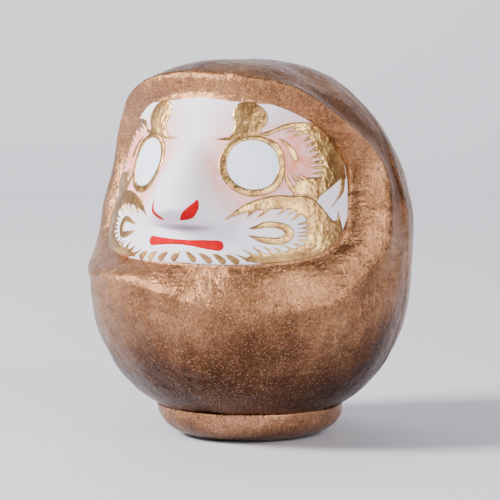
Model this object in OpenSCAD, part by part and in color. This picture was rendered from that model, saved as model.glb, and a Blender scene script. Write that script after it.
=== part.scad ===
// Daruma doll: a hollow papier-mache body in two halves, joined by a pasted
// paper strip and glued onto a heavy rounded clay foot. The recessed face has
// a white ground coat, and each painted mark on it is a thin coat of its own.
// Millimetres. The origin is the middle of the underside, +Z is up, the face
// looks along -Y, and the doll's own left is +X.

/* [Body] */
// Height of the doll from the table to the crown
total_h = 102; // [96:1:108]
// Half of the body's greatest width
side_r = 44; // [42:0.5:46]
// Height of the body's widest level above the table
centre_z = 52.5; // [51:0.5:54]
// Depth of the body below its widest level, before the bottom is cut flat
low_r = 48.7; // [48:0.1:50]
// Thickness of the papier-mache
wall = 1.8; // [1.4:0.1:2.2]

/* [Face] */
// Radius of the face's own surface at the widest level
face_r = 38; // [36:0.5:39]
// How far the nose stands out from the face
nose_h = 9.8; // [7:0.1:11]
// Half-width of the mouth
mouth_w = 10.4; // [8:0.2:12]
// Distance of each eye's centre from the middle
eye_x = 15.2; // [14:0.1:16]
// Height of the eyes' centres
eye_z = 75.2; // [73:0.1:77]
// Half-width of an eye, with its rim
eye_r = 7.4; // [6.5:0.1:7.6]
// Width of the painted rim round an eye
rim_w = 1.1; // [0.8:0.1:1.5]
// Thickness of one coat of paint
coat_t = 0.3; // [0.2:0.05:0.4]

/* [Foot] */
// Level at which the body's bottom is cut flat
cut_z = 8.6; // [8:0.1:9.5]
// Greatest radius of the foot
foot_r = 25.2; // [24:0.1:26]
// Radius of the foot's flat underside
rest_r = 15.5; // [13:0.5:18]
// Radius of the foot's plug, which stands up into the body
plug_r = 18.5; // [15:0.5:19]
// Height of the plug above the foot
plug_h = 6; // [3:0.5:8]
// Thickness of the glue between the foot and the body
glue_t = 0.4; // [0.3:0.1:0.6]
// Thickness of the paper under the foot
paper_t = 0.3; // [0.2:0.1:0.5]

/* [Seam] */
// Angle of the joint between the halves, from straight ahead
seam_a = 101.5; // [100:0.5:104]
// Half of the angle that the pasted strip covers
strip_a = 2.5; // [1.5:0.25:3]
// Thickness of the pasted strip
strip_t = 0.25; // [0.2:0.05:0.4]

/* [Hidden] */

up_r = total_h - centre_z;
copper = [0.62, 0.44, 0.33];
gold = [0.76, 0.62, 0.38];
paper = [0.80, 0.74, 0.64];
white = [0.90, 0.89, 0.93];
eye_blue = [0.86, 0.90, 0.95];
red = [0.85, 0.16, 0.20];

// Roundness of the body's profile: below, behind and in front
low_n = 2.55;
back_n = 2.15;
front_n = 3.3;
// The face's own profile runs almost straight up, leaning back
face_up = 89;
face_n = 1.3;
// Middles and half-sizes, in degrees seen from the body's centre, of the
// face's outline and of the hood's crest round it
face_mid = [0, 22];
face_size = [70, 35, 26.5];
crest_mid = [0, 16];
crest_size = [81.5, 43.5, 40];
chin_drop = 23;
// Columns round the face and rings from its middle to the seam
columns = 48;
face_rings = [0.15, 0.3, 0.45, 0.6, 0.75, 0.88, 1];
wall_rings = [1.2, 1.4, 1.6, 1.8, 2];
body_rings = [for (i = [1 : 9]) 2 + i / 9];
front_rings = concat(face_rings, wall_rings, body_rings, [4]);
back_rings = concat([0, 1], [for (i = [1 : 9]) 1 + i / 10]);

function blend(x) = let (c = min(max(x, 0), 1)) c * c * (3 - 2 * c);
function power_sum(a, b, n) = pow(pow(abs(a), n) + pow(abs(b), n), 1 / n);

// Unit direction that lies p degrees away from straight ahead
function heading(p) =
    let (w = norm(p), s = w < 0.001 ? 0 : sin(w) / w)
    [s * p.x, -cos(w), s * p.y];

// Distance from the body's centre to its plain outer form
function body_dist(d) =
    let (rho = norm([d.x, d.y]),
        ahead = rho < 0.001 ? 0 : -d.y / rho,
        n = d.z < 0 ? low_n : back_n + (front_n - back_n) * blend((ahead - 0.2) / 0.8))
    1 / power_sum(rho / side_r, d.z / (d.z < 0 ? low_r : up_r), n);

// Height of the nose over the face, which falls off quickly under its tip
function nose(x, z) =
    let (h = nose_h * blend((84.5 - z) / 19) * blend((z - 57.5) / 4.5),
        w = 7.6 - 2.8 * blend((z - 62) / 20))
    h * exp(-pow(abs(x) / w, 2.4));

// Distance from the body's centre to the face's own surface
function face_dist(d) =
    let (rho = norm([d.x, d.y]), r = 1 / power_sum(rho / face_r, d.z / face_up, face_n))
    r + nose(r * d.x, centre_z + r * d.z) / max(rho, 0.3);

// One point of an egg-like outline, as degrees from straight ahead
function egg(mid, size, n_up, n_down, t) =
    mid + [cos(t), sin(t)]
        / power_sum(cos(t) / size.x, sin(t) / (sin(t) > 0 ? size.y : size.z), sin(t) > 0 ? n_up : n_down);
function face_edge(t) = egg(face_mid, face_size, 4, 3.8, t);
function crest_edge(t) =
    let (p = egg(crest_mid, crest_size, 2.8, 2.5, t),
        drop = chin_drop + (crest_size.z - chin_drop) * blend(abs(p.x) / 50))
    sin(t) > 0 ? p : [p.x, crest_mid.y + (p.y - crest_mid.y) * drop / crest_size.z];
function round_edge(t, a) = a * [cos(t), sin(t)];

// Where ring s and column t of the front half lie, as degrees: 0 is the middle
// of the face, 1 its outline, 2 the crest, 3 the strip's edge and 4 the seam
function place(s, t) =
    s <= 1 ? face_mid + (face_edge(t) - face_mid) * s
    : s <= 2 ? face_edge(t) * (2 - s) + crest_edge(t) * (s - 1)
    : s <= 3 ? crest_edge(t) * (3 - s) + round_edge(t, seam_a - strip_a) * (s - 2)
    : round_edge(t, seam_a - strip_a) * (4 - s) + round_edge(t, seam_a) * (s - 3);

function front_point(s, t, lift) =
    let (d = heading(place(s, t)), m = blend(2 - s),
        r = face_dist(d) * m + body_dist(d) * (1 - m) + lift)
    [r * d.x, r * d.y, centre_z + r * d.z];

// The inner side steps outwards later than the outer side, so that the wall
// round the face keeps its thickness
function inner_point(s, t) =
    let (d = heading(place(s, t)), m = blend((2.3 - s) / 0.5),
        r = face_dist(d) * m + body_dist(d) * (1 - m) - wall)
    [r * d.x, r * d.y, centre_z + r * d.z];

// Ring s of the back half: 0 is the seam, 1 the strip's edge, 2 straight behind
function back_point(s, t, lift) =
    let (a = s <= 1 ? seam_a + strip_a * s : seam_a + strip_a + (180 - seam_a - strip_a) * (s - 1),
        d = heading(round_edge(t, a)), r = body_dist(d) + lift)
    [r * d.x, r * d.y, centre_z + r * d.z];
function back_inner(s, t) = back_point(s, t, -wall);

// Skins are wound from a middle point out through rings of equal columns
function angle(i) = 360 * i / columns;
function at(ring, i) = 1 + ring * columns + (i + columns) % columns;
function skin_faces(rings, start, turned) =
    let (faces = concat(
        [for (i = [0 : columns - 1]) [0, at(0, i), at(0, i + 1)]],
        [for (j = [0 : rings - 2], i = [0 : columns - 1]) [at(j, i), at(j + 1, i), at(j + 1, i + 1)]],
        [for (j = [0 : rings - 2], i = [0 : columns - 1]) [at(j, i), at(j + 1, i + 1), at(j, i + 1)]]))
    [for (f = faces) [for (k = [0 : 2]) start + f[turned ? 2 - k : k]]];

// A closed cap between an outer and an inner skin with the same rings
module cap(middle_out, rings_out, middle_in, rings_in, turned) {
    n = len(rings_out);
    half = 1 + n * columns;
    points = concat([middle_out], [for (r = rings_out, p = r) p], [middle_in], [for (r = rings_in, p = r) p]);
    edge = [for (i = [0 : columns - 1])
        let (a = at(n - 1, i), b = at(n - 1, i + 1))
        each (turned ? [[b, a, a + half], [b, a + half, b + half]]
            : [[a, b, b + half], [a, b + half, a + half]])];
    polyhedron(points, concat(skin_faces(n, 0, !turned), skin_faces(n, half, turned),
        edge), convexity = 6);
}

// What is left of a form above the level at which the bottom is cut
module above_cut() {
    difference() {
        children();
        translate([-60, -60, cut_z - 60])
            cube([120, 120, 60]);
    }
}

// A coat over the whole face, from one height above the shell to another
module face_coat(low, high) {
    top = [for (s = face_rings) [for (i = [0 : columns - 1]) front_point(s, angle(i), high)]];
    under = [for (s = face_rings) [for (i = [0 : columns - 1]) front_point(s, angle(i), low)]];
    cap(front_point(0, 0, high), top, front_point(0, 0, low), under, false);
}

// Cuts a mark, drawn as seen from the front, out of the second coat
module paint(colour, side) {
    color(colour)
        intersection() {
            face_coat(coat_t, 2 * coat_t);
            mirror([side < 0 ? 1 : 0, 0, 0])
                rotate([90, 0, 0])
                    linear_extrude(70)
                        children();
        }
}

// Smooth curve through the points [x, z, half-width] of a brush stroke
function curve(p, i, f) =
    let (n = len(p) - 1, a = p[max(i - 1, 0)], b = p[i], c = p[min(i + 1, n)], e = p[min(i + 2, n)])
    0.5 * (2 * b + (c - a) * f + (2 * a - 5 * b + 4 * c - e) * f * f + (3 * b - a - 3 * c + e) * f * f * f);
function smooth_path(p) =
    concat([for (i = [0 : len(p) - 2], k = [0 : 3]) curve(p, i, k / 4)], [p[len(p) - 1]]);
function side_of(q, i, sign) =
    let (t = q[min(i + 1, len(q) - 1)] - q[max(i - 1, 0)], l = max(norm([t.x, t.y]), 0.001))
    [q[i].x - sign * q[i].z * t.y / l, q[i].y + sign * q[i].z * t.x / l];

// A brush stroke as one outline, pointed or blunt as its half-widths say
module stroke(p) {
    q = smooth_path(p);
    n = len(q) - 1;
    polygon(concat([for (i = [0 : n]) side_of(q, i, 1)], [for (i = [0 : n]) side_of(q, n - i, -1)]));
}

// A row of pointed feather tips between two points, each w wide
module feathers(from, to, count, reach, w) {
    along = (to - from) / norm(to - from);
    for (i = [0 : count - 1]) {
        foot = from + (to - from) * i / (count - 1);
        polygon([foot - along * w, foot + along * w, foot + reach]);
    }
}

module eye_shape(r) {
    translate([eye_x, eye_z])
        scale([1, 1.03])
            circle(r, $fn = 40);
}

module shell_front() {
    color(copper)
        above_cut()
            cap(front_point(0, 0, 0),
                [for (s = front_rings) [for (i = [0 : columns - 1]) front_point(s, angle(i), 0)]],
                inner_point(0, 0),
                [for (s = front_rings) [for (i = [0 : columns - 1]) inner_point(s, angle(i))]],
                false);
}

module shell_back() {
    n = len(back_rings) - 1;
    color(copper)
        above_cut()
            cap(back_point(2, 0, 0),
                [for (k = [0 : n]) [for (i = [0 : columns - 1]) back_point(back_rings[n - k], angle(i), 0)]],
                back_inner(2, 0),
                [for (k = [0 : n]) [for (i = [0 : columns - 1]) back_inner(back_rings[n - k], angle(i))]],
                true);
}

// A band three rings wide, its middle ring on the seam
module seam_strip() {
    hoops = [for (i = [0 : columns - 1])
        [front_point(3, angle(i), strip_t), front_point(4, angle(i), strip_t),
        back_point(1, angle(i), strip_t), back_point(1, angle(i), 0),
        front_point(4, angle(i), 0), front_point(3, angle(i), 0)]];
    points = [for (hoop = hoops, p = hoop) p];
    function spot(i, k) = ((i + columns) % columns) * 6 + (k % 6);
    color(copper)
        above_cut()
            polyhedron(points, [for (i = [0 : columns - 1], k = [0 : 5])
                each [[spot(i, k), spot(i + 1, k), spot(i + 1, k + 1)],
                    [spot(i, k), spot(i + 1, k + 1), spot(i, k + 1)]]], convexity = 4);
}

module base_weight() {
    under = paper_t;
    top = cut_z - glue_t;
    bulge = [for (a = [-90 : 7.5 : 0])
        [rest_r + (foot_r - rest_r) * cos(a), top + (top - under) * sin(a)]];
    color(copper)
        rotate_extrude($fn = 96)
            polygon(concat([[0, under]], bulge, [[foot_r - 0.6, top], [plug_r, top],
                [plug_r - 1, top + plug_h], [0, top + plug_h]]));
}

module base_glue() {
    color(paper)
        translate([0, 0, cut_z - glue_t])
            difference() {
                cylinder(h = glue_t, r = foot_r - 1.2, $fn = 96);
                translate([0, 0, -1])
                    cylinder(h = glue_t + 2, r = plug_r + 0.4, $fn = 96);
            }
}

module base_paper() {
    color(paper)
        cylinder(h = paper_t, r = rest_r, $fn = 96);
}

module face_ground() {
    color(white)
        face_coat(0, coat_t);
}

module eye_white(side) {
    paint(eye_blue, side)
        eye_shape(eye_r - rim_w);
}

module eye_rim(side) {
    paint(gold, side)
        difference() {
            eye_shape(eye_r);
            eye_shape(eye_r - rim_w);
        }
}

// The mound over the eye, a broad head on a short neck, with a tick inwards
module brow(side) {
    paint(gold, side)
        difference() {
            union() {
                stroke([[13.4, 80, 3.4], [13.2, 83.5, 3], [12.8, 86.5, 4],
                    [12.6, 89.6, 3.6], [12.6, 91.2, 1.6]]);
                polygon([[4.7, 81.4], [10.5, 83], [10.5, 81]]);
            }
            eye_shape(eye_r);
        }
}

// The arching brow, which broadens down the side of the face like a wing
module wing_shape() {
    stroke([[17, 83.4, 0.4], [20, 84.8, 0.8], [23.5, 85.8, 1], [27, 84, 1.8], [29.2, 79.5, 2.6],
        [29.8, 75, 3], [29.5, 71, 2.2], [28.6, 67.8, 0.6]]);
    feathers([23.6, 85.2], [27.4, 83.4], 3, [-1.4, -2.4], 0.7);
    feathers([28.8, 79], [29.2, 70.6], 6, [-3.2, -1], 0.8);
}

module crane_wing(side) {
    paint(gold, side)
        wing_shape();
}

module brow_dab(side) {
    paint(gold, side)
        stroke([[19.6, 82.9, 0.3], [22, 81.4, 0.6], [24, 78.6, 1], [24.4, 76.4, 0.7]]);
}

// The beard starts as a point beside the nose and sweeps round the cheek
module beard(side) {
    paint(gold, side)
        difference() {
            union() {
                stroke([[11.5, 61.4, 0.2], [15, 63.6, 0.9], [19.5, 65.6, 1.4], [24.5, 65.4, 1.8],
                    [28.8, 62.8, 2.8], [31, 58.4, 3], [29.8, 54.6, 2.6], [25.5, 52, 1.6],
                    [20.5, 50.9, 0.9], [16.4, 50.9, 0.3]]);
                feathers([17, 64.6], [25.5, 64.8], 6, [-3, -2.8], 0.7);
                feathers([30, 61.5], [30.2, 56], 4, [-2.9, 0.2], 0.8);
                feathers([27, 52.4], [19, 50.9], 5, [-1.8, 1.9], 0.6);
            }
            wing_shape();
        }
}

module beard_hook(side) {
    paint(gold, side)
        stroke([[16.6, 58.5, 0.2], [20.4, 60.2, 0.7], [24, 59.6, 0.9], [25.4, 57.4, 1], [23.4, 55.4, 0.9],
            [20, 55.4, 0.7], [16.8, 56.7, 0.2]]);
}

module nostril(side) {
    paint(red, side)
        stroke([[5.8, 66, 0.1], [5.3, 64.2, 0.8], [4.2, 62.6, 0.9], [2.2, 61.1, 0.1]]);
}

module mouth() {
    w = mouth_w;
    paint(red, 1)
        stroke([[-w - 0.5, 55.4, 0.5], [-w + 1.2, 55.4, 1.15], [-w * 0.55, 55.4, 0.85], [-w * 0.15, 55, 0.65],
            [w * 0.25, 54.9, 0.7], [w * 0.6, 54.7, 0.9], [w - 1.2, 54.4, 1.25], [w + 0.5, 54.2, 0.5]]);
}

// Four drops each side, in a row along the chin
module chin_dabs() {
    paint(gold, 1)
        for (side = [-1, 1], i = [0 : 3])
            translate([side * (2.5 + 3.6 * i), 51.2 - 0.15 * i])
                rotate(side * -20)
                    scale([1.1, 0.55])
                        circle(1, $fn = 16);
}

shell_front();
shell_back();
seam_strip();
base_weight();
base_glue();
base_paper();
face_ground();
eye_white(1);  // eye_white_left
eye_white(-1);  // eye_white_right
eye_rim(1);  // eye_rim_left
eye_rim(-1);  // eye_rim_right
brow(1);  // brow_left
brow(-1);  // brow_right
crane_wing(1);  // crane_wing_left
crane_wing(-1);  // crane_wing_right
brow_dab(1);  // brow_dab_left
brow_dab(-1);  // brow_dab_right
beard(1);  // beard_left
beard(-1);  // beard_right
beard_hook(1);  // beard_hook_left
beard_hook(-1);  // beard_hook_right
nostril(1);  // nostril_left
nostril(-1);  // nostril_right
mouth();
chin_dabs();
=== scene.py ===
import math

import bmesh
import bpy
import numpy as np
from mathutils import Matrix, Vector, noise


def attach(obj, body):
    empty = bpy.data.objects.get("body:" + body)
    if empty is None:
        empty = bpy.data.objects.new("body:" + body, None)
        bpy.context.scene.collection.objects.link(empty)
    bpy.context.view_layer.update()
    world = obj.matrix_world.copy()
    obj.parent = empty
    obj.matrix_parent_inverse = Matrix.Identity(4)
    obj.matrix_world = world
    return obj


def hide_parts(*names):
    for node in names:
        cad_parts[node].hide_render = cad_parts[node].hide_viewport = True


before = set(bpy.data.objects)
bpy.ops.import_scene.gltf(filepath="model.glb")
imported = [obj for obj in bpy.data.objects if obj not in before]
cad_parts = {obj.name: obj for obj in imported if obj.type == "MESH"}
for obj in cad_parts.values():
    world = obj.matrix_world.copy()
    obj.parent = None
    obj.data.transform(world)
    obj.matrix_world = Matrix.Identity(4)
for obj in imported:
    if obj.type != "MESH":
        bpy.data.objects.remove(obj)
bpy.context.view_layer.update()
mm = 0.001

# The doll's form, in millimetres and degrees seen from its centre
body = {
    "centreHeight": 52.5,
    "sideRadius": 44.0,
    "upRadius": 49.5,
    "lowRadius": 48.7,
    "lowRound": 2.55,
    "backRound": 2.15,
    "frontRound": 3.3,
    "wall": 1.8,
    "cutHeight": 8.6,
    "seamAngle": 101.5,
}
face = {
    "radius": 38.0,
    "rise": 89.0,
    "round": 1.3,
    "outlineMiddle": (0.0, 22.0),
    "outlineSize": (70.0, 35.0, 26.5),  # half the width, the height above the middle and the drop below
    "outlineRound": (4.0, 3.8),
    "crestMiddle": (0.0, 16.0),
    "crestSize": (81.5, 43.5, 42.0),
    "crestRound": (2.8, 2.5),
    "chinDrop": 24.8,  # the crest's drop where it hangs least, a little to the doll's right of the chin
    "chinMiddle": -20.0,
    "chinSpread": (88.0, 80.0),
    "wallStart": 0.06,  # how much of the wall's width still belongs to the face
    "footRound": 0.12,
    "brimRound": (0.75, 0.5),  # how broadly the crest is rounded, under the chin and above it
    "brimChange": (-10.0, 25.0),  # where the first gives way to the second, and over how much
    "crestHaste": 6.0,  # how soon the body's own form takes over beyond the crest
    "ridge": (0.75, 0.0, 0.05),  # the raised rim along the crest: height, place and width
    "hollow": (0.5, 0.14, 0.07),  # the hollow behind it, likewise
    "rimStart": (15.0, 35.0),  # how far to each side both start, and over how much
}
nose = {
    "height": 8.0,
    "top": (84.5, 19.0),  # where the bridge starts, and over how much it rises
    "base": (58.2, 3.8),
    "halfWidth": (8.6, 3.4),  # at the nostrils, and how much less at the bridge
    "narrows": (62.0, 20.0),
    "ridgeRound": 0.3,
    "sides": 2.1,
    "lipHeight": 1.3,  # the low wide swelling under the nose, whose lower edge folds in over the lip
    "lipTop": (72.0, 11.0),
    "lipBase": (58.2, 1.8),
    "lipMiddle": 1.0,
    "lipHalfWidth": 10.5,
}
lumps = {
    "broad": (17.0, 0.55),  # size and height of the hand-pressed lumps
    "middle": (7.5, 0.26),
    "small": (2.8, 0.09),
    "faceShare": 0.3,  # how much of them the face keeps
    "reach": 45.0,  # the skin's usual distance from the centre
    "start": (3.1, 1.7, 9.2),  # where the first pattern is taken from, and how far on the next ones are
    "apart": (7.0, 0.0, -4.0),
}
# Dents and swellings: degrees round from the nose, degrees up, spread both ways, tilt, height
pressed = [
    (75, 14, 4.5, 8, 0, 0.75),
    (80.5, 17, 2.6, 12, 2, -0.45),
    (78, 33, 3.5, 5, 0, 0.35),
    (-76, 16, 4.5, 9, 0, 0.6),
    (-4, -6.5, 36, 3.0, -8, -0.3),
    (0, -15, 34, 5, -8, 0.3),
    (20, -30, 13, 2.8, 24, -0.75),
    (15, -24.5, 12, 3.5, 24, 0.6),
    (46, -29, 9, 4, -20, -0.6),
    (4, -37, 10, 3.5, -6, 0.5),
    (-22, -30, 12, 4, 16, -0.5),
    (-12, -22, 14, 3.2, -10, 0.35),
    (45, -10, 8, 4.5, 30, -0.5),
    (60, -17, 9, 4, 14, 0.6),
    (62, -32, 12, 7, 0, -0.4),
    (-62, -9, 15, 6, 0, 0.4),
    (-60, -27, 12, 9, 0, 0.3),
    (120, 10, 14, 16, 0, 0.5),
    (160, -20, 18, 12, 20, -0.5),
    (-130, 0, 16, 14, 0, -0.4),
    (-110, 40, 14, 10, 0, 0.4),
    (178, 40, 20, 9, 0, 0.4),
]


def ease(x):
    c = np.clip(x, 0.0, 1.0)
    return c * c * (3 - 2 * c)


def above(x, edge):
    # from 0 to 1 beyond the edge's start, over the edge's run
    return ease((x - edge[0]) / edge[1])


def below(x, edge):
    return ease((edge[0] - x) / edge[1])


def swelling(x, height, place, width):
    return height * np.exp(-(((x - place) / width) ** 2))


def roundTurn(count):
    # unit directions evenly round a circle
    return [(math.cos(t), math.sin(t)) for t in np.arange(count) * 2 * math.pi / count]


def powerSum(a, b, n):
    return (np.abs(a) ** n + np.abs(b) ** n) ** (1 / n)


def headingOf(angles):
    # unit directions that lie so many degrees across and up from straight ahead
    w = np.radians(np.hypot(angles[..., 0], angles[..., 1]))
    s = np.sinc(w / math.pi) * math.pi / 180
    return np.stack([s * angles[..., 0], -np.cos(w), s * angles[..., 1]], -1)


def anglesOf(d):
    w = np.arccos(np.clip(-d[..., 1], -1, 1))
    s = np.maximum(np.sin(w), 1e-9)
    k = np.where(w < 1e-4, 1.0, w / s)
    return np.degrees(np.stack([d[..., 0] * k, d[..., 2] * k], -1))


def plainRadius(d):
    rho = np.hypot(d[..., 0], d[..., 1])
    ahead = -d[..., 1] / np.maximum(rho, 1e-6)
    upper = body["backRound"] + (body["frontRound"] - body["backRound"]) * ease((ahead - 0.2) / 0.8)
    n = np.where(d[..., 2] < 0, body["lowRound"], upper)
    reach = np.where(d[..., 2] < 0, body["lowRadius"], body["upRadius"])
    return 1 / powerSum(rho / body["sideRadius"], d[..., 2] / reach, n)


def noseRise(x, z):
    wide, less = nose["halfWidth"]
    w = wide - less * above(z, nose["narrows"])
    h = nose["height"] * below(z, nose["top"]) * above(z, nose["base"])
    lip = nose["lipHeight"] * above(z, nose["lipBase"]) * below(z, nose["lipTop"])
    ridge = np.exp(-(np.sqrt(x * x + nose["ridgeRound"]) / w) ** nose["sides"])
    return h * ridge + lip * np.exp(-((x - nose["lipMiddle"]) / nose["lipHalfWidth"]) ** 4)


def faceRadius(d):
    rho = np.hypot(d[..., 0], d[..., 1])
    r = 1 / powerSum(rho / face["radius"], d[..., 2] / face["rise"], face["round"])
    return r + noseRise(r * d[..., 0], body["centreHeight"] + r * d[..., 2]) / np.maximum(rho, 0.3)


def eggReach(p, middle, size, roundness):
    u = p[..., 0] - middle[0]
    v = p[..., 1] - middle[1]
    n = np.where(v > 0, roundness[0], roundness[1])
    return powerSum(u / size[0], v / np.where(v > 0, size[1], size[2]), n)


def crestDrop(u):
    low = face["crestSize"][2]
    away = u - face["chinMiddle"]
    spread = np.where(away < 0, *face["chinSpread"])
    return face["chinDrop"] + (low - face["chinDrop"]) * ease(np.abs(away) / spread)


def outlineReach(p):
    return eggReach(p, face["outlineMiddle"], face["outlineSize"], face["outlineRound"])


def crestReach(p):
    v = p[..., 1] - face["crestMiddle"][1]
    v = np.where(v < 0, v * face["crestSize"][2] / crestDrop(p[..., 0]), v)
    q = np.stack([p[..., 0], v + face["crestMiddle"][1]], -1)
    return eggReach(q, face["crestMiddle"], face["crestSize"], face["crestRound"])


def lumpHeight(d, share):
    # hand-pressed lumps, gentler on the face than on the body
    flat = d.reshape(-1, 3)
    out = np.zeros(len(flat))
    for k, (size, height) in enumerate((lumps["broad"], lumps["middle"], lumps["small"])):
        shift = Vector([a + b * k for a, b in zip(lumps["start"], lumps["apart"])])
        scale = lumps["reach"] / size
        out += height * np.array([noise.noise(Vector(v) * scale + shift) for v in flat])
    out = out.reshape(d.shape[:-1]) * (1 - (1 - lumps["faceShare"]) * share)
    around = np.degrees(np.arctan2(d[..., 0], -d[..., 1]))
    up = np.degrees(np.arcsin(np.clip(d[..., 2], -1, 1)))
    for a, e, wide, tall, tilt, height in pressed:
        c, s = math.cos(math.radians(tilt)), math.sin(math.radians(tilt))
        across = (around - a + 180) % 360 - 180
        u = across * c + (up - e) * s
        v = (up - e) * c - across * s
        out += height * np.exp(-((u / wide) ** 2) - (v / tall) ** 2) * (1 - share ** 3)
    return out


def softLess(a, b, width):
    # the lesser of two values, rounded off where they cross
    f = np.clip(0.5 + 0.5 * (b - a) / width, 0, 1)
    return b + (a - b) * f - width * f * (1 - f)


def skinRadius(d):
    # the face's own surface inside its outline, the body's outside the crest, a rounded wall between
    p = anglesOf(d)
    inner = outlineReach(p)
    beyond = crestReach(p) - 1
    between = (inner - 1) / np.maximum(inner - 1 - beyond, 1e-3)
    past = beyond / np.maximum(inner - 1, 0.03)
    between = np.where(beyond > 0, 1 + past + face["crestHaste"] * past ** 2, between)
    between = np.clip(between, 0, 4)
    start = face["wallStart"]
    climb = -softLess((start - between) / (1 - start), np.zeros_like(between), face["footRound"])
    low, high = face["brimRound"]
    rounding = low + (high - low) * above(p[..., 1], face["brimChange"])
    share = 1 - np.clip(softLess(climb, np.ones_like(climb), rounding), 0, 1)
    share = np.where(inner <= 1, 1.0, share)
    rim = swelling(beyond, *face["ridge"]) - swelling(beyond, *face["hollow"])
    rim = rim * above(np.abs(p[..., 0]), face["rimStart"])
    r = faceRadius(d) * share + plainRadius(d) * (1 - share) + rim * (1 - share)
    return r + lumpHeight(d, share)


def plainSkin(d):
    return plainRadius(d) + lumpHeight(d, np.zeros(len(d)))


def outPoint(d, r):
    q = d * r[..., None]
    q[..., 2] += body["centreHeight"]
    return q * mm


def addObject(name, data):
    thing = bpy.data.objects.new(name, data)
    bpy.context.scene.collection.objects.link(thing)
    return thing


def makePiece(name, points, faces, sharpAngle=38):
    mesh = bpy.data.meshes.new(name)
    mesh.from_pydata([tuple(p) for p in points], [], faces)
    mesh.validate()
    mesh.polygons.foreach_set("use_smooth", [True] * len(mesh.polygons))
    mesh.set_sharp_from_angle(angle=math.radians(sharpAngle))
    return addObject(name, mesh)


def settle(piece, material, slotName, *nodes):
    piece.data.materials.clear()
    piece.data.materials.append(material)
    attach(piece, "root")
    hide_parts(*nodes)


def outline(middle, size, roundness, turn):
    c, s = np.cos(turn), np.sin(turn)
    n = np.where(s > 0, roundness[0], roundness[1])
    r = 1 / powerSum(c / size[0], s / np.where(s > 0, size[1], size[2]), n)
    return np.stack([middle[0] + c * r, middle[1] + s * r], -1)


def ringAngles(s, turn):
    edge = outline(face["outlineMiddle"], face["outlineSize"], face["outlineRound"], turn)
    crest = outline(face["crestMiddle"], face["crestSize"], face["crestRound"], turn)
    v = crest[:, 1] - face["crestMiddle"][1]
    v = np.where(v < 0, v * crestDrop(crest[:, 0]) / face["crestSize"][2], v)
    crest = np.stack([crest[:, 0], v + face["crestMiddle"][1]], -1)
    seam = body["seamAngle"] * np.stack([np.cos(turn), np.sin(turn)], -1)
    middle = np.array(face["outlineMiddle"])
    if s <= 1:
        return middle + (edge - middle) * s
    if s <= 2:
        return edge * (2 - s) + crest * (s - 1)
    return crest * (3 - s) + seam * (s - 2)


skins = {
    "columns": 300,
    "faceRings": 46,
    "wallRings": 34,
    "bodyRings": 64,
    "backRings": 84,
    "innerRings": 30,
    "innerFace": (0.1, 1.6, 12),  # the inside's first and last ring behind the face, and how many
    "innerBody": (1.65, 3, 18),
    "innerChange": (2.3, 0.5),  # where the inside turns from the face's form to the body's
}


def closedHalf(outer, inner):
    # outer and inner are stacks of rings from the middle outwards, joined at their last ring
    columns = outer.shape[1]
    points = []
    faces = []
    lastRings = []
    for stack, outward in ((outer, True), (inner, False)):
        start = len(points)
        lastRings.append(start + 1 + (len(stack) - 1) * columns)
        points.append(stack[0].mean(0))
        points.extend(stack.reshape(-1, 3))
        for i in range(columns):
            j = (i + 1) % columns
            fan = [start, start + 1 + i, start + 1 + j]
            faces.append(fan if outward else fan[::-1])
        for k in range(len(stack) - 1):
            a = start + 1 + k * columns
            b = a + columns
            for i in range(columns):
                j = (i + 1) % columns
                quad = [a + i, b + i, b + j, a + j]
                faces.append(quad if outward else quad[::-1])
    a, b = lastRings
    for i in range(columns):
        j = (i + 1) % columns
        faces.append([a + i, b + i, b + j, a + j])
    return points, faces


def cutFlat(piece):
    # takes off what hangs below the body's cut bottom and closes the rim
    work = bmesh.new()
    work.from_mesh(piece.data)
    everything = work.verts[:] + work.edges[:] + work.faces[:]
    low = (0, 0, body["cutHeight"] * mm)
    cut = bmesh.ops.bisect_plane(work, geom=everything, plane_co=low, plane_no=(0, 0, 1), clear_inner=True)
    rim = [e for e in cut["geom_cut"] if isinstance(e, bmesh.types.BMEdge)]
    bmesh.ops.triangle_fill(work, edges=rim, use_beauty=True, normal=(0, 0, -1))
    bmesh.ops.recalc_face_normals(work, faces=work.faces)
    for f in work.faces:
        f.smooth = True
    work.to_mesh(piece.data)
    work.free()
    piece.data.set_sharp_from_angle(angle=math.radians(50))


turn = np.linspace(0, 2 * math.pi, skins["columns"], endpoint=False)
faceSteps = np.linspace(0, 1, skins["faceRings"] + 1)[1:]
wallSteps = np.linspace(1, 2, skins["wallRings"] + 1)[1:]
bodySteps = np.linspace(2, 3, skins["bodyRings"] + 1)[1:]
frontSteps = np.concatenate([faceSteps, wallSteps, bodySteps])


def frontOuter():
    d = np.stack([headingOf(ringAngles(s, turn)) for s in frontSteps])
    return outPoint(d, skinRadius(d))


def frontInner():
    rows = []
    for s in np.concatenate([np.linspace(*skins["innerFace"]), np.linspace(*skins["innerBody"])]):
        d = headingOf(ringAngles(s, turn))
        m = below(s, skins["innerChange"])
        rows.append(outPoint(d, faceRadius(d) * m + plainRadius(d) * (1 - m) - body["wall"]))
    return np.stack(rows)


def backSkin(steps, inward):
    rows = []
    for s in steps:
        a = 180 + (body["seamAngle"] - 180) * s
        d = headingOf(a * np.stack([np.cos(turn), np.sin(turn)], -1))
        rows.append(outPoint(d, plainRadius(d) - body["wall"] if inward else plainSkin(d)))
    return np.stack(rows)


frontPoints, frontFaces = closedHalf(frontOuter(), frontInner())
shellFront = makePiece("shellFront", frontPoints, frontFaces)
cutFlat(shellFront)
backSteps = np.linspace(0, 1, skins["backRings"] + 1)[1:]
innerSteps = np.linspace(0, 1, skins["innerRings"] + 1)[1:]
backPoints, backFaces = closedHalf(backSkin(backSteps, False), backSkin(innerSteps, True))
shellBack = makePiece("shellBack", backPoints, [f[::-1] for f in backFaces])
cutFlat(shellBack)
print("shell halves made")


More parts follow.
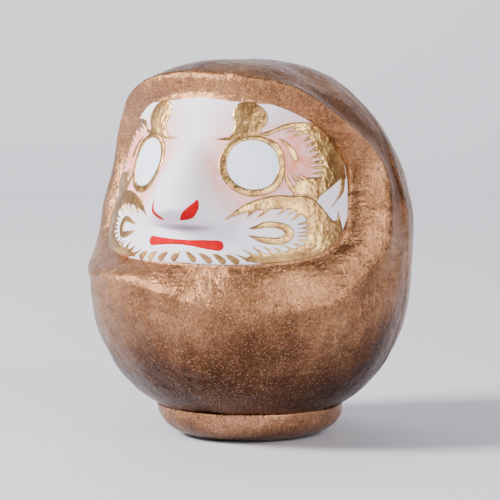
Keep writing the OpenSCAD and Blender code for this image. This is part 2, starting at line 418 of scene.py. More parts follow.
# The pasted band of paper over the joint, which shows as a soft line
strip = {
    "halfAngle": 2.6,
    "rise": 0.16,
    "tuck": 0.12,  # how far its edges sink into the skin
    "under": 0.3,
    "columns": 300,
    "across": 13,
    "wander": 0.5,
    "wanderScale": 3,
}


def tubeFaces(count, around, outward):
    # the faces between the rings of a closed tube
    faces = []
    for i in range(count):
        j = (i + 1) % count
        for k in range(around):
            n = (k + 1) % around
            quad = [i * around + k, j * around + k, j * around + n, i * around + n]
            faces.append(quad if outward else quad[::-1])
    return faces


def makeStrip():
    rows = []
    line = np.linspace(-1, 1, strip["across"])
    lift = strip["rise"] * (1 - line ** 4) - strip["tuck"] * line ** 4
    scale = strip["wanderScale"]
    for x, y in roundTurn(strip["columns"]):
        shift = strip["wander"] * noise.noise(Vector((x * scale, y * scale, 4)))
        a = body["seamAngle"] + line * strip["halfAngle"] + shift
        d = headingOf(a[:, None] * np.array([x, y]))
        r = plainSkin(d)
        rows.append(np.concatenate([outPoint(d, r + lift), outPoint(d, r - strip["under"])[::-1]]))
    points = np.stack(rows)
    return makePiece("seamStrip", points.reshape(-1, 3), tubeFaces(*points.shape[:2], False), 60)


seamStrip = makeStrip()
cutFlat(seamStrip)
print("seam strip made")


# The foot: a heavy disc of clay with a plug, glued in
foot = {
    "restRadius": 15.5,
    "restRings": (4, 8, 12, 14.5),
    "radius": 25.2,
    "top": 8.5,
    "topRings": (23, 21),
    "under": 0.3,
    "edge": 0.3,  # how far under the top the foot is widest
    "edgeRound": 0.5,
    "plugRadius": 18.5,
    "plugTop": 14.2,
    "plugSteps": ((0.3, 0.0), (0.0, 0.3), (-0.4, 3.0)),  # up the plug's side: further out, further up
    "plugEdge": ((-0.8, -0.8), (-1.8, 0.0)),  # over its top edge, likewise
    "plugMiddle": 10,
    "columns": 200,
    "lump": 0.5,
    "lumpScale": (2.2, 9),  # round the foot and up it, for the broad lumps and for the small ones
    "smallScale": (7, 3),
    "smallShare": 0.4,
}


def lumpAt(x, y, z, scale):
    return noise.noise(Vector((x * scale[0], y * scale[0], z / scale[1])))


def revolve(name, profile, columns, lump):
    # profile is (radius, height) from the middle below to the middle above
    points = [(0, 0, profile[0][1] * mm)]
    for r, z in profile[1:-1]:
        for x, y in roundTurn(columns):
            small = foot["smallShare"] * lumpAt(x, y, z, foot["smallScale"])
            k = r + lump * (lumpAt(x, y, z, foot["lumpScale"]) + small)
            points.append((k * x * mm, k * y * mm, z * mm))
    points.append((0, 0, profile[-1][1] * mm))
    rings = len(profile) - 2
    faces = []
    for i in range(columns):
        j = (i + 1) % columns
        faces.append([0, 1 + j, 1 + i])
        for k in range(rings - 1):
            a = 1 + k * columns
            b = a + columns
            faces.append([a + i, a + j, b + j, b + i])
        last = 1 + (rings - 1) * columns
        faces.append([last + i, last + j, len(points) - 1])
    return makePiece(name, points, faces, 60)


def footProfile():
    low, high = foot["under"], foot["top"]
    widest = high - foot["edge"]
    plug, plugTop = foot["plugRadius"], foot["plugTop"]
    profile = [(0, low)] + [(r, low) for r in foot["restRings"]]
    for w in np.radians(np.linspace(-88, 0, 18)):
        r = foot["restRadius"] + (foot["radius"] - foot["restRadius"]) * math.cos(w)
        profile.append((r, widest + (widest - low) * math.sin(w)))
    for w in np.radians(np.linspace(15, 90, 5)):
        r = foot["radius"] - foot["edgeRound"] + foot["edgeRound"] * math.cos(w)
        profile.append((r, widest + foot["edgeRound"] * math.sin(w)))
    profile += [(r, high) for r in foot["topRings"]]
    profile += [(plug + out, high + up) for out, up in foot["plugSteps"]]
    profile += [(plug + out, plugTop + up) for out, up in foot["plugEdge"]]
    return profile + [(foot["plugMiddle"], plugTop), (0, plugTop)]


clayFoot = revolve("clayFoot", footProfile(), foot["columns"], foot["lump"])

# A squeezed-out bead of glue between the body's cut bottom and the foot
glue = {"inner": 18.9, "outer": 23.9, "low": 8.15, "high": 8.65, "lump": 0.25, "columns": 200, "around": 12}


def makeGlue():
    points = []
    level, thick = (glue["low"] + glue["high"]) / 2, (glue["high"] - glue["low"]) / 2
    for x, y in roundTurn(glue["columns"]):
        out = glue["outer"] + glue["lump"] * noise.noise(Vector((x * 4, y * 4, 2)))
        middle, half = (glue["inner"] + out) / 2, (out - glue["inner"]) / 2
        for c, s in roundTurn(glue["around"]):
            q = (abs(c) ** 4 + abs(s) ** 4) ** -0.25
            r = middle + half * c * q
            points.append((r * x * mm, r * y * mm, (level + thick * s * q) * mm))
    return makePiece("glueBead", points, tubeFaces(glue["columns"], glue["around"], True), 60)


glueBead = makeGlue()

footSheet = {"radius": 15.5, "thick": 0.3, "edge": 0.1, "rings": (7, 12), "columns": 120, "lump": 0.08}


def paperProfile():
    thick, edge = footSheet["thick"], footSheet["edge"]
    profile = [(0, 0)] + [(r, 0) for r in footSheet["rings"]]
    for a in np.linspace(-1.5, 1.5, 7):
        r = footSheet["radius"] - edge + edge * math.cos(a)
        profile.append((r, thick / 2 + thick / 2 * math.sin(a)))
    return profile + [(r, thick) for r in reversed(footSheet["rings"])] + [(0, thick)]


footPaper = revolve("footPaper", paperProfile(), footSheet["columns"], footSheet["lump"])
print("foot made")

# Painted marks are drawn as (across, height) in mm over the unrolled face
paint = {
    "unroll": 36.0,  # across divided by this is the angle round the doll
    "groundLift": 0.25,
    "step": 0.2,  # the finer, the smoother a mark's edge
    "smallStep": 0.15,
    "curveSteps": 6,
    "margin": 1.2,
    "thinnest": 0.03,  # half the width that a brush's tip still leaves
    "least": 0.01,  # how thick a film still is at its very edge
    "under": 0.1,  # how far each film reaches down into what it lies on
    "waverScale": 1.1,
    "reliefScale": (0.9, 2.3),
    "recessEdge": 0.998,  # no film goes further out than this part of the face's outline
    "recessReach": 26.0,
}
farOff = 99.0


def faceHeading(h, z):
    a = h / paint["unroll"]
    v = z - body["centreHeight"]
    rho = face["radius"] * (1 - np.abs(v / face["rise"]) ** face["round"]) ** (1 / face["round"])
    p = np.stack([rho * np.sin(a), -rho * np.cos(a), v], -1)
    return p / np.linalg.norm(p, axis=-1, keepdims=True)


def facePoints(h, z, lift):
    d = faceHeading(h, z)
    return outPoint(d, skinRadius(d) + lift)


def curveThrough(points, closed=False):
    # smooth curve through the points, with every column carried along
    p = np.array(points, float)
    n = len(p)
    out = []
    for i in range(n if closed else n - 1):
        a, b, c, e = p[[(i + k) % n if closed else min(max(i + k, 0), n - 1) for k in (-1, 0, 1, 2)]]
        for f in np.arange(paint["curveSteps"]) / paint["curveSteps"]:
            straight = 2 * b + (c - a) * f
            bend = (2 * a - 5 * b + 4 * c - e) * f ** 2
            twist = (3 * b - a - 3 * c + e) * f ** 3
            out.append(0.5 * (straight + bend + twist))
    if not closed:
        out.append(p[-1])
    return np.array(out)


def segmentDistance(h, z, a, b):
    ab = b - a
    f = np.clip(((h - a[0]) * ab[0] + (z - a[1]) * ab[1]) / max(ab @ ab, 1e-9), 0, 1)
    return np.hypot(h - a[0] - f * ab[0], z - a[1] - f * ab[1]), f


def strokeField(h, z, points):
    # below zero inside a brush stroke given as (across, height, half width)
    path = curveThrough(points)
    out = np.full(h.shape, farOff)
    for a, b in zip(path[:-1], path[1:]):
        gap, f = segmentDistance(h, z, a[:2], b[:2])
        out = np.minimum(out, gap - np.maximum(a[2] + (b[2] - a[2]) * f, paint["thinnest"]))
    return out


def outlineField(h, z, points):
    # below zero inside a closed smooth outline
    path = curveThrough(points, True)
    out = np.full(h.shape, farOff)
    inside = np.zeros(h.shape, bool)
    for a, b in zip(path, np.roll(path, -1, axis=0)):
        gap, _ = segmentDistance(h, z, a, b)
        out = np.minimum(out, gap)
        crosses = (a[1] > z) != (b[1] > z)
        rise = b[1] - a[1] if abs(b[1] - a[1]) > 1e-9 else 1e-9
        inside ^= crosses & (h < a[0] + (z - a[1]) * (b[0] - a[0]) / rise)
    return np.where(inside, -out, out)


def markField(h, z, mark):
    out = np.full(h.shape, farOff)
    for points in mark.get("strokes", []):
        out = np.minimum(out, strokeField(h, z, points))
    for points in mark.get("outlines", []):
        out = np.minimum(out, outlineField(h, z, points))
    for points in mark.get("gaps", []):
        out = np.maximum(out, -outlineField(h, z, points))
    return out


def markBox(mark):
    found = []
    for points in mark.get("strokes", []) + mark.get("outlines", []):
        p = np.array(points, float)
        wide = p[:, 2].max() if p.shape[1] > 2 else 0
        found += [p[:, :2].min(0) - wide, p[:, :2].max(0) + wide]
    found = np.array(found)
    return found.min(0) - paint["margin"], found.max(0) + paint["margin"]


def recessField(h, z):
    # roughly how many millimetres beyond the face's outline a place is
    return (outlineReach(anglesOf(faceHeading(h, z))) - paint["recessEdge"]) * paint["recessReach"]


def cutCells(hs, zs, field, whole):
    # the grid's cells inside the mark, cut along its edge, and each corner's place and depth
    keys = {}
    flat = []
    depth = []

    def corner(i, j):
        key = (i, j)
        if key not in keys:
            keys[key] = len(flat)
            flat.append((hs[i], zs[j]))
            depth.append(-whole[i, j])
        return keys[key]

    def crossing(i, j, k, m):
        key = (min((i, j), (k, m)), max((i, j), (k, m)))
        if key not in keys:
            f = field[i, j] / (field[i, j] - field[k, m])
            keys[key] = len(flat)
            flat.append((hs[i] + (hs[k] - hs[i]) * f, zs[j] + (zs[m] - zs[j]) * f))
            depth.append(-whole[i, j] * (1 - f) - whole[k, m] * f)
        return keys[key]

    cells = []
    inside = field < 0
    touched = inside[:-1, :-1] | inside[1:, :-1] | inside[:-1, 1:] | inside[1:, 1:]
    for i, j in zip(*np.nonzero(touched)):
        loop = [(i, j), (i + 1, j), (i + 1, j + 1), (i, j + 1)]
        cell = []
        for (a, b), (c, e) in zip(loop, loop[1:] + loop[:1]):
            if inside[a, b]:
                cell.append(corner(a, b))
            if inside[a, b] != inside[c, e]:
                cell.append(crossing(a, b, c, e))
        cells.append(cell)
    return cells, np.array(flat), np.array(depth)


def makeFilm(name, mark, side, coat, joined=None):
    # a film of paint with a domed top, cut along the mark's own edge and closed below
    step, edge = coat["step"], coat["edge"]
    low, high = markBox(mark)
    hs = np.arange(low[0], high[0], step)
    zs = np.arange(low[1], high[1], step)
    h, z = np.meshgrid(hs, zs, indexing="ij")
    scale = paint["waverScale"]
    spots = [(a * scale, b * scale, 3.3 + side) for a, b in zip(h.flat, z.flat)]
    shake = np.array([noise.noise(Vector(spot)) for spot in spots]).reshape(h.shape)
    field = np.maximum(markField(h, z, mark) + coat["waver"] * shake, recessField(h, z))
    field = np.where(np.abs(field) < 0.04 * step, -0.04 * step, field)
    whole = field  # where two marks run into each other, both keep their full height
    if joined:
        whole = np.minimum(field, markField(h, z, joined))
    cells, flat, depth = cutCells(hs, zs, field, whole)
    deep = np.clip(depth / edge, 0, 1)
    rise = coat["thick"] * np.sqrt(1 - (1 - deep) ** 2)
    if coat["relief"]:
        broad, small = paint["reliefScale"]
        rough = [noise.noise(Vector((a * broad, b * broad, 8))) for a, b in flat]
        finer = [0.5 * noise.noise(Vector((a * small, b * small, 5))) for a, b in flat]
        rise = rise + coat["relief"] * (np.array(rough) + np.array(finer)) * deep
    top = facePoints(flat[:, 0] * side, flat[:, 1], coat["lift"] + paint["least"] + rise)
    under = facePoints(flat[:, 0] * side, flat[:, 1], coat["lift"] - paint["under"])
    count = len(flat)
    used = {pair for cell in cells for pair in zip(cell, cell[1:] + cell[:1])}
    faces = list(cells)
    faces += [[v + count for v in reversed(cell)] for cell in cells]
    faces += [[b, a, a + count, b + count] for a, b in sorted(used) if (b, a) not in used]
    if side < 0:
        faces = [f[::-1] for f in faces]
    return makePiece(name, np.concatenate([top, under]), faces, 50)


plainCoat = {"lift": paint["groundLift"], "step": paint["step"], "waver": 0.08, "relief": 0.0}
smallCoat = dict(plainCoat, step=paint["smallStep"], waver=0.04)
coats = {
    "faceGround": dict(plainCoat, lift=0.15, thick=0.12, edge=1.0, step=0.4, waver=0.18),
    "eyeWhite": dict(plainCoat, thick=0.14, edge=0.9, step=0.25, waver=0.05),
    "eyeRim": dict(plainCoat, lift=paint["groundLift"] + 0.04, thick=0.3, edge=0.7, waver=0.12, relief=0.05),
    "brow": dict(plainCoat, thick=0.26, edge=0.9, waver=0.12, relief=0.08),
    "craneWing": dict(plainCoat, thick=0.24, edge=0.8, waver=0.1, relief=0.08),
    "browDab": dict(plainCoat, thick=0.2, edge=0.6),
    "beard": dict(plainCoat, thick=0.24, edge=0.8, waver=0.1, relief=0.08),
    "beardHook": dict(plainCoat, thick=0.22, edge=0.6),
    "nostril": dict(smallCoat, thick=0.14, edge=0.5),
    "mouth": dict(smallCoat, thick=0.18, edge=0.6, waver=0.06),
    "chinDabs": dict(smallCoat, thick=0.16, edge=0.4),
}

whiteGround = {"outlines": [[
    (0, 92.1), (10, 91.3), (20, 90.6), (25, 90.2), (30, 89), (35, 87.2), (38, 86), (40, 84.8),
    (43, 82), (45, 80), (46.2, 77.8), (47, 75), (47.2, 73), (46.8, 70), (45.5, 65), (44.5, 61.5),
    (43, 59), (41, 56.8), (38, 54), (35, 52.2), (32, 51.2), (28, 50.2), (25, 49.7), (15, 49.6),
    (5, 49.6), (0, 49.9),
]]}
whiteGround["outlines"][0] += [(-h, z) for h, z in reversed(whiteGround["outlines"][0][1:-1])]
faceGround = makeFilm("faceGround", whiteGround, 1, coats["faceGround"])
print("white ground made")

eyeWhiteMark = {"outlines": [[
    (17.7, 81.9), (21.5, 81.3), (24.6, 79.4), (25.9, 76.2), (25.4, 72.4), (22.9, 69.3), (19, 67.9),
    (15, 68.1), (11.6, 70.1), (9.8, 73.3), (9.9, 77.1), (11.9, 80.1), (14.6, 81.5),
]]}
eyeRimMark = {
    "outlines": [[
        (17.6, 82.3), (21, 82.1), (24.5, 80.8), (26.3, 79), (26.9, 76.6), (26.8, 73.6), (25.6, 70.4),
        (23.2, 68.2), (19.8, 67.1), (16.2, 67), (12.6, 68.2), (9.8, 70.8), (8.4, 74.2), (8.7, 77.6),
        (10.4, 80.3), (13.6, 81.9),
    ]],
    "gaps": [[
        (17.7, 81.1), (21.1, 80.5), (23.7, 78.8), (24.9, 76.2), (24.6, 72.9), (22.4, 70.1), (19.2, 68.9),
        (15.5, 69.1), (12.4, 70.8), (10.8, 73.5), (10.7, 76.7), (12.4, 79.4), (14.8, 80.7),
    ]],
}
browMark = {
    "outlines": [[
        (10.2, 81.5), (11, 82.6), (12, 84.2), (12, 85.8), (11.3, 87.2), (11.6, 89), (12.6, 90.3),
        (14.2, 90.9), (17.5, 90.9), (20, 90.2), (22, 88.8), (22.7, 86.9), (22, 85.3), (20.6, 84.2),
        (20, 83.3), (20, 81.6),
    ]],
    "strokes": [[(5.2, 81.3, 0.05), (7.6, 81.4, 0.25), (10.4, 81.6, 0.5), (13, 82, 0.5)]],
    "gaps": eyeRimMark["outlines"],
}
wingMark = {
    "outlines": [[
        (19.8, 82.8), (22, 83.5), (24, 84), (28, 85.3), (33, 85.8), (36, 85.6), (39, 85), (41, 84),
        (43, 82), (45, 80), (46.2, 77.8), (46.8, 75), (46.9, 73), (46.4, 70.8), (44, 70.6), (40, 68.6),
        (36, 66.4), (34.6, 64), (32, 63), (29, 65), (28.5, 68), (30, 70.6), (33, 71.6), (37.5, 71.8),
        (38.6, 73.5), (38.8, 75), (38.5, 77), (37.4, 78.8), (36.9, 80.3), (36.4, 82), (35, 83.9),
        (32, 84.5), (26, 83.6), (22, 82.3),
    ]],
    "strokes": [
        [(34.5, 84.2, 0.7), (31, 83.8, 0.4), (27.7, 83.1, 0.05)],
        [(36.4, 83.4, 0.9), (33.4, 83, 0.5), (30, 82.1, 0.05)],
        [(37.4, 82, 0.9), (35.4, 81.5, 0.5), (33, 80.5, 0.05)],
        [(38, 80.4, 0.9), (36, 80, 0.45), (33.8, 79.3, 0.05)],
        [(38.4, 78.9, 0.9), (36.6, 78.6, 0.45), (34.5, 77.8, 0.05)],
        [(39.2, 77.2, 0.9), (36.8, 76.9, 0.4), (34.5, 76.2, 0.05)],
        [(39.4, 75.4, 0.8), (37, 75.4, 0.4), (34.5, 75.2, 0.05)],
        [(39.2, 73.9, 0.7), (36.8, 74.1, 0.4), (34.3, 74, 0.05)],
        [(38.6, 72.4, 0.7), (36.6, 72.6, 0.4), (34.5, 72.5, 0.05)],
        [(33.4, 70.6, 0.8), (31.8, 71.8, 0.4), (30, 73, 0.05)],
        [(32, 70.2, 0.7), (30.4, 71.6, 0.35), (28.8, 73, 0.05)],
        [(31, 69.6, 0.6), (29.2, 71.4, 0.3), (27.8, 73.8, 0.05)],
        [(26.7, 74, 0.05), (26.9, 72.2, 0.5), (27.5, 70.4, 0.8), (28.6, 68.6, 0.8), (30.4, 67.2, 0.8)],
        [(45, 72, 1.2), (44.8, 70, 1.0), (44, 68, 0.75), (42.2, 65.6, 0.05)],
        [(43.6, 67.6, 0.3), (42.2, 66.2, 0.25), (40, 64.2, 0.15), (38.4, 63.4, 0.05)],
    ],
}
dabMark = {"strokes": [[
    (25.3, 81.8, 0.05), (27, 80.9, 0.4), (28.8, 79.2, 0.8), (29.9, 77.4, 1.1), (30.2, 76.4, 1.0),
]]}
beardMark = {
    "outlines": [[
        (10.8, 60.8), (13, 63), (15.5, 65), (19, 66.4), (23, 67.3), (28, 67.2), (32, 67), (35, 65.6),
        (36.8, 63.6), (39.6, 60.3), (41, 61.6), (41.5, 63), (41.7, 61), (42, 58.6), (41.5, 56.9),
        (38.5, 54.2), (33, 51.2), (28, 50), (25, 49.7), (22, 49.8), (17, 50.4), (15.6, 51.2), (18, 52.3),
        (22, 52.6), (24.5, 52.8), (27.5, 53.6), (30, 54.4), (31.4, 55.8), (31.8, 57.6), (31.9, 59.6),
        (31.2, 61.4), (29.6, 62.8), (27, 63.6), (23.6, 63.8), (20, 63.6), (17, 63.2), (13.4, 62),
    ]],
    "strokes": [
        [(18.2, 64.2, 0.8), (17, 62.8, 0.45), (15.6, 61.2, 0.05)],
        [(21.4, 64.2, 0.8), (20.2, 62.9, 0.45), (18.5, 61.4, 0.05)],
        [(26.6, 64.4, 0.8), (25.4, 63.4, 0.4), (24, 62.2, 0.05)],
        [(28.6, 64, 0.8), (27.6, 62.9, 0.4), (26.2, 61.6, 0.05)],
        [(30, 63, 0.8), (28.8, 61.8, 0.4), (26.8, 60.4, 0.05)],
        [(32.6, 60.2, 0.7), (30.8, 60.1, 0.4), (28.6, 59.7, 0.05)],
        [(32.6, 58.9, 0.6), (31, 58.9, 0.35), (29, 58.7, 0.05)],
        [(32.8, 57.6, 0.6), (31.2, 57.8, 0.35), (28.9, 57.7, 0.05)],
        [(32.6, 56.2, 0.6), (30.8, 56.8, 0.35), (28.6, 56.8, 0.05)],
        [(31.8, 55, 0.6), (30.2, 55.7, 0.35), (28.2, 55.9, 0.05)],
        [(30.4, 53.6, 0.7), (28.8, 54.6, 0.35), (27, 55, 0.05)],
        [(28, 52.6, 0.7), (26.4, 54, 0.35), (24.6, 54.7, 0.05)],
        [(25.4, 52, 0.7), (23.8, 53.5, 0.35), (22.2, 54.3, 0.05)],
        [(23, 51.8, 0.7), (21.6, 53.4, 0.35), (20, 54.5, 0.05)],
        [(20.4, 51.6, 0.7), (19, 53.2, 0.35), (17.4, 54.4, 0.05)],
        [(18.4, 51.4, 0.6), (16.8, 52.7, 0.3), (15, 53.8, 0.05)],
        [(16.8, 50.8, 0.5), (15, 51.7, 0.3), (13, 52.6, 0.05)],
    ],
}
hookMark = {"strokes": [[
    (16.1, 58.8, 0.05), (18.5, 59.3, 0.45), (21, 59.9, 0.8), (24, 59.7, 0.85), (26, 58.9, 1.1),
    (26.8, 57.6, 1.25), (25.8, 56.2, 1.05), (23.5, 55.7, 0.95), (20.5, 56, 0.85), (18.3, 56.6, 0.5),
    (16.3, 57.3, 0.05),
]]}
nostrilMark = {"outlines": [[
    (5.35, 64.7), (5.6, 64.1), (5.8, 63.1), (5.6, 62), (5, 61.1), (4, 60.5), (2.7, 60.2), (1.2, 60.1),
    (2.2, 61), (3.1, 61.9), (3.9, 62.8), (4.75, 63.8), (5.15, 64.4),
]]}
farNostrilMark = {"outlines": [[
    (5.2, 64.7), (5.6, 64.1), (6, 63.1), (6.1, 62.1), (5.7, 61.2), (4.9, 60.5), (3.9, 60.1), (2.7, 60.1),
    (3.6, 60.8), (4.4, 61.7), (4.8, 62.7), (5, 63.7), (5.1, 64.4),
]]}
mouthMark = {"strokes": [[
    (-9.3, 55.1, 1.25), (-7.4, 55.15, 1.05), (-5, 55.2, 0.85), (-2.5, 55.2, 0.7), (0, 55.15, 0.68),
    (3, 55, 0.85), (6, 54.75, 1.15), (9.2, 54.5, 1.35),
]]}
dabs = [
    ((0.7, 52.9), (2.7, 50.9)),  # each drop's thin upper end and its round lower end
    ((4.1, 52.6), (6.8, 50.7)),
    ((7.7, 52.5), (10.3, 50.6)),
    ((10.8, 52.3), (13.6, 50.6)),
]
chinMark = {"strokes": []}
for side in (1, -1):
    for (h0, z0), (h1, z1) in dabs:
        between = (side * (h0 + h1) / 2, (z0 + z1) / 2 + 0.1, 0.65)
        chinMark["strokes"].append([(side * h0, z0, 0.05), between, (side * h1, z1, 0.85)])

# Where the wing runs into the beard, the wing is cut and both keep their full height
wingMark["gaps"] = [beardMark["outlines"][0]]
# The doll's right side is painted a little narrower than its left
narrower = {
    "eyeMiddle": 17.8,
    "eyeMoved": 17.2,
    "eyeWidth": 0.8,
    "cheek": 3.0,
    "cheekStart": (21, 7),  # where the cheek's marks start to move inwards, and over how much
    "cheekEnd": (33, 6),
}


def narrowEye(h):
    return narrower["eyeMoved"] + (h - narrower["eyeMiddle"]) * narrower["eyeWidth"]


def narrowCheek(h):
    return h - narrower["cheek"] * above(h, narrower["cheekStart"]) * (1 - above(h, narrower["cheekEnd"]))


def moved(mark, move):
    out = {}
    for key, lists in mark.items():
        out[key] = [[(float(move(p[0])), *p[1:]) for p in points] for points in lists]
    return out


nearMarks = {
    "eyeWhite": eyeWhiteMark,
    "eyeRim": eyeRimMark,
    "brow": browMark,
    "craneWing": wingMark,
    "browDab": dabMark,
    "beard": beardMark,
    "beardHook": hookMark,
    "nostril": nostrilMark,
}
cheekMarks = ("craneWing", "browDab", "beard", "beardHook")
farMarks = {name: moved(nearMarks[name], narrowCheek) for name in cheekMarks}
farMarks["eyeWhite"] = moved(eyeWhiteMark, narrowEye)
farMarks["eyeRim"] = moved(eyeRimMark, narrowEye)
farMarks["brow"] = dict(browMark, gaps=farMarks["eyeRim"]["outlines"])
farMarks["nostril"] = farNostrilMark
runsInto = {"craneWing": "beard", "beard": "craneWing"}
films = {}
for side, word, marks in ((1, "Left", nearMarks), (-1, "Right", farMarks)):
    for name in nearMarks:
        joined = marks[runsInto[name]] if name in runsInto else None
        films[name + word] = makeFilm(name + word, marks[name], side, coats[name], joined)
for name, mark in (("mouth", mouthMark), ("chinDabs", chinMark)):
    films[name] = makeFilm(name, mark, 1, coats[name])
print("painted marks made:", len(films))


def linear(*levels):
    parts = [v / 255 for v in levels]
    return (*[c / 12.92 if c <= 0.04045 else ((c + 0.055) / 1.055) ** 2.4 for c in parts], 1.0)


def addNode(tree, kind, inputs=None, **settings):
    node = tree.nodes.new("ShaderNode" + kind)
    for key, value in settings.items():
        setattr(node, key, value)
    for key, value in (inputs or {}).items():
        if isinstance(value, bpy.types.NodeSocket):
            tree.links.new(value, node.inputs[key])
        else:
            node.inputs[key].default_value = value
    return node


def startMaterial(name, metallic, specular=0.5):
    material = bpy.data.materials.new(name)
    material.use_nodes = True
    tree = material.node_tree
    shader = tree.nodes["Principled BSDF"]
    shader.inputs["Metallic"].default_value = metallic
    shader.inputs["Specular IOR Level"].default_value = specular
    place = addNode(tree, "TexCoord").outputs["Object"]
    inMm = addNode(tree, "VectorMath", {0: place, "Scale": 1 / mm}, operation="SCALE")
    return material, tree, shader, inMm.outputs[0]


def noiseTex(tree, coords, scale, detail, rough, stretch=None):
    if stretch:
        coords = addNode(tree, "Mapping", {"Vector": coords, "Scale": stretch}).outputs[0]
    inputs = {"Vector": coords, "Scale": scale, "Detail": detail, "Roughness": rough}
    return addNode(tree, "TexNoise", inputs).outputs["Fac"]


def ramp(tree, value, stops):
    node = addNode(tree, "ValToRGB", {"Fac": value})
    band = node.color_ramp
    while len(band.elements) < len(stops):
        band.elements.new(0.5)
    for element, (place, colour) in zip(band.elements, stops):
        element.position = place
        element.color = colour
    return node.outputs["Color"]


def toneRamp(tree, value, *stops):
    return ramp(tree, value, [(place, linear(*tone)) for place, tone in stops])


def greyRamp(tree, value, *stops):
    return ramp(tree, value, [(place, (v, v, v, 1)) for place, v in stops])


def mixColour(tree, amount, a, b, kind="MIX"):
    inputs = {0: amount, 6: a, 7: b}
    return addNode(tree, "Mix", inputs, data_type="RGBA", blend_type=kind).outputs[2]


def mathNode(tree, kind, a, b, c=0.0):
    return addNode(tree, "Math", {0: a, 1: b, 2: c}, operation=kind).outputs[0]


def rangeMap(tree, value, low, high, atLow, atHigh, kind="LINEAR"):
    ends = {"Value": value, "From Min": low, "From Max": high, "To Min": atLow, "To Max": atHigh}
    return addNode(tree, "MapRange", ends, interpolation_type=kind).outputs[0]


def coatWith(tree, shader, colour, wear, roughness, layers):
    # wear is the pattern that the roughness follows, layers are (height, distance in mm, strength)
    tree.links.new(colour, shader.inputs["Base Color"])
    tree.links.new(rangeMap(tree, wear, 0.3, 0.7, *roughness), shader.inputs["Roughness"])
    normal = None
    for height, distance, strength in layers:
        inputs = {"Height": height, "Distance": distance * mm, "Strength": strength}
        node = addNode(tree, "Bump", inputs)
        if normal:
            tree.links.new(normal, node.inputs["Normal"])
        normal = node.outputs["Normal"]
    tree.links.new(normal, shader.inputs["Normal"])


copperLook = {
    "light": (198, 144, 103),
    "middle": (168, 117, 80),
    "dark": (136, 91, 60),
    "pit": (58, 36, 24),
    "spark": (246, 206, 168),
    "shade": (112, 101, 99),  # colour of the painted shade near the bottom and over the crown
    "lowShade": (15.0, 52.0, 24.0),  # painted shade towards the bottom: where it is full, where it ends, and its unevenness
    "crown": (95.5, 100.0, 0.5),  # painted shade over the crown: where it starts, where it is full, how much
    "metallic": 0.95,
    "roughness": (0.38, 0.23),  # in the hollows of the fibres and on their tops
    "patches": (0.05, 5, 0.6),  # how many to the millimetre, how detailed and how rough
    "swell": (0.22, 3, 0.5),
    "fibres": (0.55, 5, 0.65, (1.0, 1.0, 0.22)),
    "wrinkles": (0.4, 4, 0.6, (0.35, 0.35, 1.0)),
    "grain": (1.7, 5, 0.7),
    "relief": {"swell": (1.8, 0.45), "wrinkles": (0.85, 0.5), "fibres": (0.35, 0.45), "grain": (0.25, 0.7)},
}
# The foot's tones are a little darker than the body's, partly as painted shade under the body; it also gets
# painted shade towards its bottom
footLook = dict(copperLook, light=(196, 144, 108), middle=(160, 112, 80), dark=(116, 80, 56))
footLook["lowShade"] = (-1.5, 7.0, 3.0)
backLook = dict(copperLook, light=(198, 150, 116), middle=(168, 122, 90), dark=(134, 96, 70))


def copperPaint(name, look):
    material, tree, shader, at = startMaterial(name, look["metallic"])
    patches = noiseTex(tree, at, *look["patches"])
    layers = {key: noiseTex(tree, at, *look[key]) for key in look["relief"]}
    colour = toneRamp(tree, patches, (0.3, look["dark"]), (0.5, look["middle"]), (0.72, look["light"]))
    streaks = greyRamp(tree, layers["fibres"], (0.36, 0.62), (0.52, 1.0), (0.7, 1.18))
    colour = mixColour(tree, 0.45, colour, streaks, "MULTIPLY")
    folds = greyRamp(tree, layers["wrinkles"], (0.34, 0.6), (0.5, 1.0), (0.66, 1.2))
    colour = mixColour(tree, 0.35, colour, folds, "MULTIPLY")
    sand = greyRamp(tree, layers["grain"], (0.36, 0.42), (0.5, 1.0), (0.64, 1.65))
    colour = mixColour(tree, 0.7, colour, sand, "MULTIPLY")
    pits = mathNode(tree, "MULTIPLY", greyRamp(tree, layers["grain"], (0.3, 1), (0.4, 0)), 0.7)
    colour = mixColour(tree, pits, colour, linear(*look["pit"]))
    # Painted shade: the coat darkens towards the bottom, unevenly
    height = addNode(tree, "SeparateXYZ", {"Vector": at}).outputs["Z"]
    full, end, uneven = look["lowShade"]
    level = mathNode(tree, "MULTIPLY_ADD", patches, uneven, height)
    lowShade = rangeMap(tree, level, full + uneven / 2, end + uneven / 2, 1.0, 0.0, "SMOOTHSTEP")
    # Painted shade over the crown, which darkens the top
    start, full, most = look["crown"]
    crownShade = rangeMap(tree, height, start, full, 0.0, most, "SMOOTHSTEP")
    shaded = mixColour(tree, 1.0, colour, linear(*look["shade"]), "MULTIPLY")
    colour = mixColour(tree, mathNode(tree, "MAXIMUM", lowShade, crownShade), colour, shaded)
    flakes = addNode(tree, "TexVoronoi", {"Vector": at, "Scale": 2.0})
    sparkle = greyRamp(tree, flakes.outputs["Distance"], (0.1, 1), (0.4, 0))
    chosen = greyRamp(tree, flakes.outputs["Color"], (0.4, 0), (0.7, 1))
    sparkle = mathNode(tree, "MULTIPLY", mathNode(tree, "MULTIPLY", sparkle, chosen), 0.45)
    colour = mixColour(tree, sparkle, colour, linear(*look["spark"]))
    relief = [(layers[key], *look["relief"][key]) for key in layers]
    coatWith(tree, shader, colour, layers["fibres"], look["roughness"], relief)
    return material


goldLook = {
    "light": (242, 198, 128),
    "middle": (182, 140, 88),
    "dark": (124, 90, 52),
    "pit": (84, 60, 32),
    "metallic": 0.9,
    "roughness": (0.42, 0.24),
    "cloud": (0.25, 4, 0.6),
    "brushed": (0.6, 3, 0.6),
    "grain": (3.0, 3, 0.6),
}


